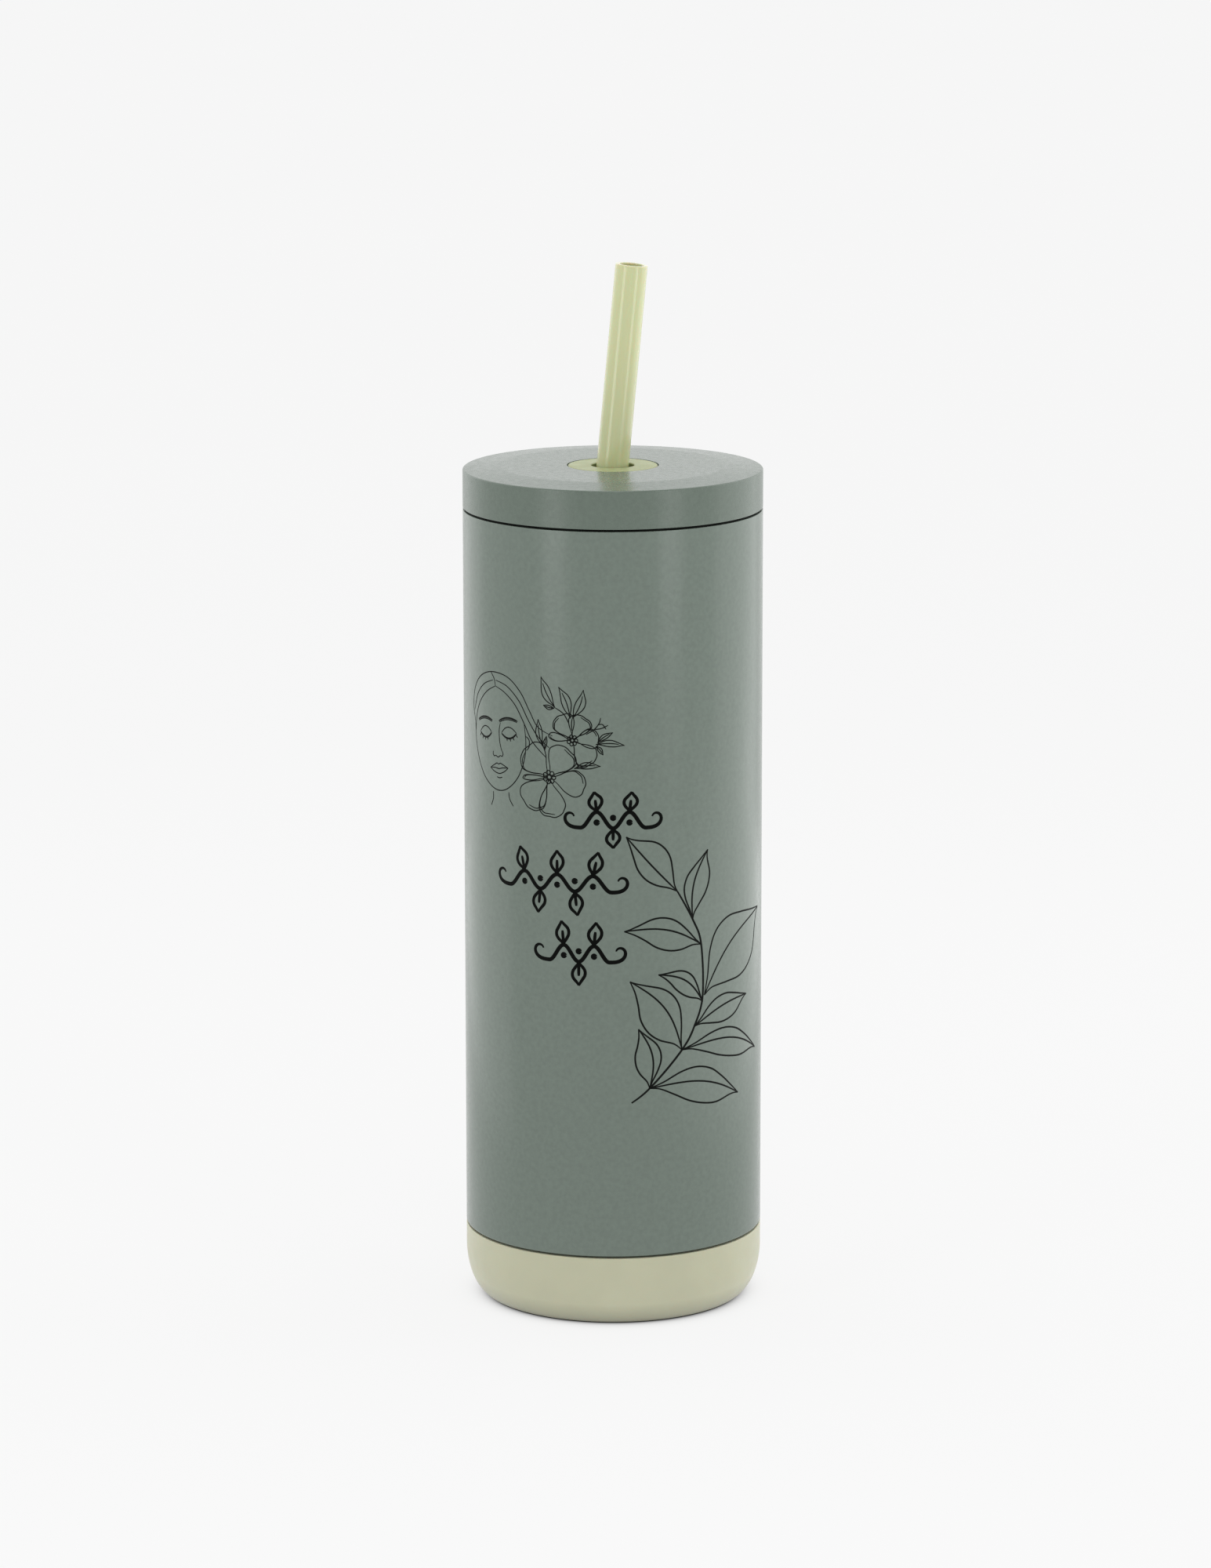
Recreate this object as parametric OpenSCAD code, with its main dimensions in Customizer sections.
// Insulated straw tumbler: a double-walled steel cup with a press-in lid,
// a straw that leans in a rubber grommet, and a silicone boot on its base.
// +Z is up. The origin is the centre of the boot's underside.

/* [Cup] */
// Outside diameter of the body, the lid and the boot
body_d = 74; // [70:0.5:78]
// Height of the cup's steel rim
rim_z = 199.3; // [180:0.1:215]
// Wall thickness of the outer shell
shell_wall = 0.5; // [0.4:0.05:0.7]
// Radius of the shell's pressed edges
shell_edge_r = 0.5; // [0.5:0.05:0.7]
// Inside diameter of the liner that holds the drink
liner_d = 64.8; // [62:0.2:65.4]
// Wall thickness of the liner
liner_wall = 0.4; // [0.3:0.05:0.5]
// Radius of the rolled drinking edge
rim_roll_r = 1.2; // [0.8:0.1:1.6]
// Height of the floor inside the cup
floor_z = 14.5; // [12:0.5:17]
// Corner radius of the floor inside the cup
floor_r = 8; // [4:0.5:10]

/* [Vacuum space] */
// Wall thickness of the pressed outer bottom
pan_wall = 0.6; // [0.4:0.1:0.8]
// Corner radius of the outer bottom
pan_r = 8; // [6:0.5:8]
// Depth of the recess around the evacuation port
port_recess_h = 1.2; // [1:0.1:1.6]
// Diameter of that recess
port_recess_d = 22; // [16:0.5:26]
// Diameter of the evacuation hole
port_d = 1.2; // [0.8:0.1:2]
// Diameter of the glass bead that seals the hole
bead_d = 5.2; // [4:0.1:6]
// How far the bead stands out of the recess floor
bead_h = 0.8; // [0.5:0.1:0.85]
// Sheet thickness of the cover over the bead
cover_wall = 0.3; // [0.2:0.05:0.3]
// Thickness of the copper foil around the liner
foil_wall = 0.1; // [0.05:0.01:0.15]
// Diameter of the gas-absorbing getter capsule
getter_d = 8; // [6:0.5:10]
// Height of the getter capsule
getter_h = 3; // [2:0.1:3.5]
// Width of the strap that holds the capsule
clip_w = 5; // [3:0.5:6]
// Thickness of that strap
clip_wall = 0.3; // [0.2:0.05:0.4]

/* [Boot] */
// Height of the silicone boot
boot_h = 17.9; // [16:0.1:20]
// Thickness of the boot's wall
boot_wall = 2.1; // [1.8:0.1:2.4]
// Thickness of the boot's floor
boot_floor = 2.2; // [2:0.1:2.4]
// How far the rounded bottom edge reaches in
boot_edge_w = 6.2; // [4:0.1:6.4]
// How far the rounded bottom edge reaches up
boot_edge_h = 12.6; // [10:0.1:14]
// Diameter of the shallow recess under the boot
boot_recess_d = 46; // [30:1:52]
// Depth of that recess
boot_recess_h = 0.5; // [0.2:0.1:0.8]

/* [Lid] */
// Height of the lid's skirt
lid_h = 9.4; // [9:0.05:12]
// Dark line between the cup's rim and the lid's skirt
lid_gap = 0.6; // [0.3:0.05:0.8]
// Diameter of the flat middle of the lid's top
plateau_d = 56; // [44:0.5:60]
// How far the flat middle stands above the lid's outer edge
plateau_rise = 0.72; // [0.2:0.02:0.8]
// Radius of the lid's outer edge
lid_edge_r = 0.4; // [0.2:0.05:0.8]
// Thickness of the lid's skirt
skirt_wall = 2.2; // [1.8:0.1:2.4]
// Thickness of the lid's top plate
plate_wall = 2.5; // [2.2:0.1:2.8]
// Diameter of the plug below the rim
plug_d = 63.2; // [60:0.2:63.2]
// Depth of the plug below the rim
plug_h = 14.6; // [12:0.1:18]
// Wall thickness of the plug
plug_wall = 2; // [1.6:0.1:2.4]
// Depth of the gasket's groove in the plug
groove_h = 1; // [0.8:0.1:1.1]
// Height of the gasket
gasket_h = 3; // [2.4:0.1:3.6]

/* [Straw] */
// Diameter of the grommet's head
grommet_d = 22.2; // [20:0.1:26]
// Thickness of the grommet's head
grommet_head_h = 1.8; // [1.6:0.1:2]
// Diameter of the grommet's stem
grommet_stem_d = 17.44; // [16:0.02:18]
// Diameter of the hole through the grommet
grommet_hole_d = 10.6; // [10.4:0.1:11]
// Diameter of the hole's flared lower end
grommet_flare_d = 11.8; // [11.6:0.1:12.4]
// Height of the flared part
grommet_flare_h = 7; // [4:0.5:7]
// Length of the grommet below the lid's top
grommet_h = 15.2; // [12:0.1:15.5]
// Outside diameter of the straw
straw_d = 8; // [7.6:0.1:8.2]
// Bore of the straw
straw_bore_d = 5.9; // [5.4:0.1:6.2]
// Lean of the straw towards +X, in degrees
straw_lean = 5.4; // [0:0.1:6]
// Distance along +X from the cup's axis to the point the straw leans about
straw_offset = -0.3; // [-0.4:0.1:0.4]
// Length of the straw above the point it leans about
straw_above = 52.45; // [20:0.05:80]
// Length of the straw below that point
straw_below = 191.9; // [150:0.1:191.9]
// Diameter of the round seal that the straw leans in
seal_d = 11.2; // [11.1:0.05:11.4]
// Thickness of that seal
seal_h = 2.6; // [2:0.1:2.6]

/* [Hidden] */
$fn = 96;

// Clearances between pieces that move past each other
lid_clear = 0.05;
boot_clear = 0.3;
joint_gap = 0.45;
straw_clear = 0.05;
stem_clear = 0.08;
ring_clear = 0.2;
// Clearances between pieces that stay together
foil_clear = 0.1;
cover_clear = 0.1;
foam_clear = 0.2;
clip_clear = 0.1;

// Weld above the cup's floor corner, and the bare liner beyond the foil's ends
weld_up = 1.5;
foil_up = 2;
foil_down = 6;
// Getter capsule under the cup's floor
getter_x = 15;
clip_foot = 3;
// Inside of the lid
boss_wall = 1.6;
boss_rim = 2;
tube_wall = 1.6;
plug_edge_r = 2;
plug_floor = 1.8;
flange_h = 1.75;
flange_in = 0.5;
groove_up = 4.5;
gasket_valley = 0.25;
// Grommet and straw
grommet_edge_r = 0.4;
stem_chamfer = 0.8;
pivot_down = 2.75;
straw_lip_r = 0.3;

body_r = body_d / 2;
liner_r = liner_d / 2;
liner_out_r = liner_r + liner_wall;

neck_r = body_r - boot_wall - boot_clear;
shoulder_z = boot_h + joint_gap;
pan_z = boot_floor + boot_clear;
pan_top_z = pan_z + pan_r;
port_z = pan_z + port_recess_h;
port_recess_r = port_recess_d / 2;
weld_z = floor_z + floor_r + weld_up;
foil_bottom_z = weld_z + foil_up;
foil_top_z = rim_z - foil_down;

clip_top_z = floor_z - liner_wall;
clip_z = clip_top_z - getter_h - clip_wall - clip_clear;
clip_half = getter_d / 2 + clip_clear;

lid_z = rim_z + lid_gap;
lid_edge_z = lid_z + lid_h;
lid_top_z = lid_edge_z + plateau_rise;
skirt_in_r = body_r - skirt_wall;
plate_z = lid_top_z - plate_wall;
seat_z = lid_top_z - grommet_head_h - lid_clear;
seat_r = grommet_d / 2 + ring_clear;
boss_r = seat_r + boss_rim;
boss_z = seat_z - boss_wall;
stem_hole_r = grommet_stem_d / 2 + stem_clear;

plug_r = plug_d / 2;
plug_z = rim_z - plug_h;
flange_z = rim_z + lid_clear;
flange_r = body_r - flange_in;
tube_r = stem_hole_r + tube_wall;
groove_z = plug_z + groove_up;
gasket_r = liner_r - lid_clear;

grommet_z = lid_top_z - grommet_h;
pivot_z = lid_top_z - pivot_down;

arc_steps = 8;

// Points along an elliptical arc about [x, z], from angle a0 to angle a1
function bow(x, z, rx, rz, a0, a1) =
    [for (i = [0 : arc_steps])
        let (a = a0 + (a1 - a0) * i / arc_steps)
        [x + rx * cos(a), z + rz * sin(a)]];

// Points along a circular arc about [x, z]
function arc(x, z, r, a0, a1) = bow(x, z, r, r, a0, a1);

// A solid of revolution about +Z from its half outline
module turned(outline) {
    rotate_extrude() polygon(outline);
}

// Places a piece on the straw's leaning axis, with its origin at the pivot
module on_straw_axis() {
    translate([straw_offset, 0, pivot_z]) rotate([0, straw_lean, 0]) children();
}

// Powder-coated steel tube, necked in at the bottom to take the boot
module outer_shell() {
    in_r = body_r - shell_wall;
    edge_x = body_r - shell_edge_r;
    color("#7D8A80") turned(concat(
        [[neck_r - shell_wall, pan_top_z], [neck_r, pan_top_z], [neck_r, shoulder_z]],
        arc(edge_x, shoulder_z + shell_edge_r, shell_edge_r, -90, 0),
        arc(edge_x, rim_z - shell_edge_r, shell_edge_r, 0, 90),
        [[in_r, shoulder_z + shell_wall], [neck_r - shell_wall, shoulder_z + shell_wall]]
    ));
}

// Pressed pan that closes the shell, with a recess around the evacuation port
module outer_bottom() {
    flat_r = neck_r - pan_r;
    recess_out_r = port_recess_r + pan_wall;
    color("silver") turned(concat(
        [[port_d / 2, port_z], [port_recess_r, port_z], [port_recess_r, pan_z]],
        arc(flat_r, pan_top_z, pan_r, -90, 0),
        arc(flat_r, pan_top_z, pan_r - pan_wall, 0, -90),
        [[recess_out_r, pan_z + pan_wall], [recess_out_r, port_z + pan_wall]],
        [[port_d / 2, port_z + pan_wall]]
    ));
}

// Steel tube that holds the drink, rolled out at the top to meet the shell
module inner_liner() {
    roll_x = liner_r + rim_roll_r;
    roll_z = rim_z - rim_roll_r;
    color("gainsboro") turned(concat(
        [[liner_out_r, weld_z], [liner_r, weld_z]],
        arc(roll_x, roll_z, rim_roll_r, 180, 90),
        [[body_r - shell_wall, rim_z], [body_r - shell_wall, rim_z - liner_wall]],
        arc(roll_x, roll_z, rim_roll_r - liner_wall, 90, 180)
    ));
}

// Deep-drawn floor of the cup, welded to the liner
module inner_bottom() {
    flat_r = liner_r - floor_r;
    arc_z = floor_z + floor_r;
    color("lightgray") turned(concat(
        [[0, floor_z - liner_wall]],
        arc(flat_r, arc_z, floor_r + liner_wall, -90, 0),
        [[liner_out_r, weld_z], [liner_r, weld_z]],
        arc(flat_r, arc_z, floor_r, 0, -90),
        [[0, floor_z]]
    ));
}

// Copper foil around the liner, which throws back radiant heat
module copper_foil() {
    in_r = liner_out_r + foil_clear;
    color("peru") turned([
        [in_r, foil_bottom_z], [in_r + foil_wall, foil_bottom_z],
        [in_r + foil_wall, foil_top_z], [in_r, foil_top_z]
    ]);
}

// Pill that takes up the last gas in the vacuum space
module getter_capsule() {
    color("gray") translate([getter_x, 0, clip_z + clip_wall])
        cylinder(d = getter_d, h = getter_h);
}

// Spot-welded strap that holds the pill under the inner bottom
module getter_clip() {
    leg = clip_half + clip_wall;
    foot = leg + clip_foot;
    foot_z = clip_top_z - clip_wall;
    color("darkgray") translate([getter_x - clip_w / 2, 0, 0]) rotate([90, 0, 90])
        linear_extrude(clip_w) polygon([
            [-foot, clip_top_z], [-clip_half, clip_top_z],
            [-clip_half, clip_z + clip_wall], [clip_half, clip_z + clip_wall],
            [clip_half, clip_top_z], [foot, clip_top_z],
            [foot, foot_z], [leg, foot_z], [leg, clip_z],
            [-leg, clip_z], [-leg, foot_z], [-foot, foot_z]
        ]);
}

// Glass bead that closes the evacuation port
module seal_bead() {
    color("lightcyan") turned(concat(
        [[0, port_z + pan_wall], [port_d / 2, port_z + pan_wall], [port_d / 2, port_z]],
        bow(0, port_z, bead_d / 2, bead_h, 0, -90)
    ));
}

// Steel cover that keeps the bead from being knocked
module seal_cover() {
    cover_r = port_recess_r - cover_clear;
    color("silver") turned([
        [0, pan_z], [cover_r, pan_z], [cover_r, port_z], [cover_r - cover_wall, port_z],
        [cover_r - cover_wall, pan_z + cover_wall], [0, pan_z + cover_wall]
    ]);
}

// Silicone boot that slips over the cup's neck, flush with the body
module base_boot() {
    in_r = neck_r + boot_clear;
    pan_flat_r = neck_r - pan_r;
    color("#C6C4A8") turned(concat(
        [[0, boot_recess_h], [boot_recess_d / 2, boot_recess_h], [boot_recess_d / 2, 0]],
        bow(body_r - boot_edge_w, boot_edge_h, boot_edge_w, boot_edge_h, -90, 0),
        [[body_r, boot_h], [in_r, boot_h]],
        arc(pan_flat_r, pan_top_z, pan_r + boot_clear, 0, -90),
        [[0, boot_floor]]
    ));
}

// Outer shell of the lid, with the seat for the straw's grommet
module lid_cap() {
    color("#7D8A80") turned(concat(
        [[skirt_in_r, lid_z], [body_r, lid_z]],
        arc(body_r - lid_edge_r, lid_edge_z - lid_edge_r, lid_edge_r, 0, 90),
        [[plateau_d / 2, lid_top_z], [seat_r, lid_top_z], [seat_r, seat_z]],
        [[stem_hole_r, seat_z], [stem_hole_r, boss_z], [boss_r, boss_z]],
        [[boss_r, plate_z], [skirt_in_r, plate_z]]
    ));
}

// Inner half of the lid: a hollow plug with a groove and a straw tube. The foot of its flange
// reaches out under the skirt, over the cup's rim
module lid_plug() {
    in_r = plug_r - plug_wall;
    edge_x = plug_r - plug_edge_r;
    color("#262B27") turned(concat(
        [[stem_hole_r, plug_z]],
        arc(edge_x, plug_z + plug_edge_r, plug_edge_r, -90, 0),
        [[plug_r, groove_z], [plug_r - groove_h, groove_z]],
        [[plug_r - groove_h, groove_z + gasket_h], [plug_r, groove_z + gasket_h]],
        [[plug_r, flange_z], [flange_r, flange_z], [flange_r, lid_z], [skirt_in_r, lid_z]],
        [[skirt_in_r, flange_z + flange_h]],
        [[plug_r, flange_z + flange_h], [plug_r, plate_z], [in_r, plate_z]],
        [[in_r, plug_z + plug_floor], [tube_r, plug_z + plug_floor], [tube_r, boss_z]],
        [[stem_hole_r, boss_z]]
    ));
}

// Foam ring sealed between the two halves of the lid
module lid_insulation() {
    in_r = tube_r + foam_clear;
    out_r = plug_r - plug_wall - foam_clear;
    bottom_z = plug_z + plug_floor;
    top_z = boss_z - foam_clear;
    color("ivory") turned([
        [in_r, bottom_z], [out_r, bottom_z], [out_r, top_z], [in_r, top_z]
    ]);
}

// Two-lipped silicone gasket that seals the plug in the cup
module lid_gasket() {
    root_r = plug_r - groove_h;
    valley_r = plug_r + gasket_valley;
    color("#C6C4A8") turned([
        [root_r, groove_z], [valley_r, groove_z],
        [gasket_r, groove_z + gasket_h / 4], [valley_r, groove_z + gasket_h / 2],
        [gasket_r, groove_z + gasket_h * 3 / 4], [valley_r, groove_z + gasket_h],
        [root_r, groove_z + gasket_h]
    ]);
}

// Soft grommet that lines the lid's hole, with a round pocket for the seal
// and a flared lower end that leaves the straw room to lean
module straw_grommet() {
    hole_r = grommet_hole_d / 2;
    stem_r = grommet_stem_d / 2;
    head_r = grommet_d / 2;
    head_z = seat_z + lid_clear;
    edge_z = lid_top_z - grommet_edge_r;
    color("#B9BE9A") difference() {
        turned(concat(
            [[hole_r, grommet_z + grommet_flare_h], [grommet_flare_d / 2, grommet_z]],
            [[stem_r - stem_chamfer, grommet_z]],
            [[stem_r, grommet_z + stem_chamfer], [stem_r, head_z], [head_r, head_z]],
            arc(head_r - grommet_edge_r, edge_z, grommet_edge_r, 0, 90),
            arc(hole_r + grommet_edge_r, edge_z, grommet_edge_r, 90, 180)
        ));
        translate([straw_offset, 0, pivot_z]) sphere(d = seal_d + 2 * straw_clear);
    }
}

// Wiper ring in the grommet's pocket, which lets the straw lean and slide
module straw_seal() {
    color("#5A5F3A") on_straw_axis() difference() {
        intersection() {
            sphere(d = seal_d);
            cylinder(d = seal_d + 2, h = seal_h, center = true);
        }
        cylinder(d = straw_d + 2 * straw_clear, h = seal_h + 2, center = true);
    }
}

// Reusable drinking straw with softened ends
module straw() {
    out_r = straw_d / 2;
    bore_r = straw_bore_d / 2;
    top_z = straw_above - straw_lip_r;
    bottom_z = straw_lip_r - straw_below;
    color("#C3C79E") on_straw_axis() turned(concat(
        arc(bore_r + straw_lip_r, bottom_z, straw_lip_r, 180, 270),
        arc(out_r - straw_lip_r, bottom_z, straw_lip_r, 270, 360),
        arc(out_r - straw_lip_r, top_z, straw_lip_r, 0, 90),
        arc(bore_r + straw_lip_r, top_z, straw_lip_r, 90, 180)
    ));
}

outer_shell();
outer_bottom();
inner_liner();
inner_bottom();
copper_foil();
getter_capsule();
getter_clip();
seal_bead();
seal_cover();
base_boot();
lid_cap();
lid_plug();
lid_insulation();
lid_gasket();
straw_grommet();
straw_seal();
straw();
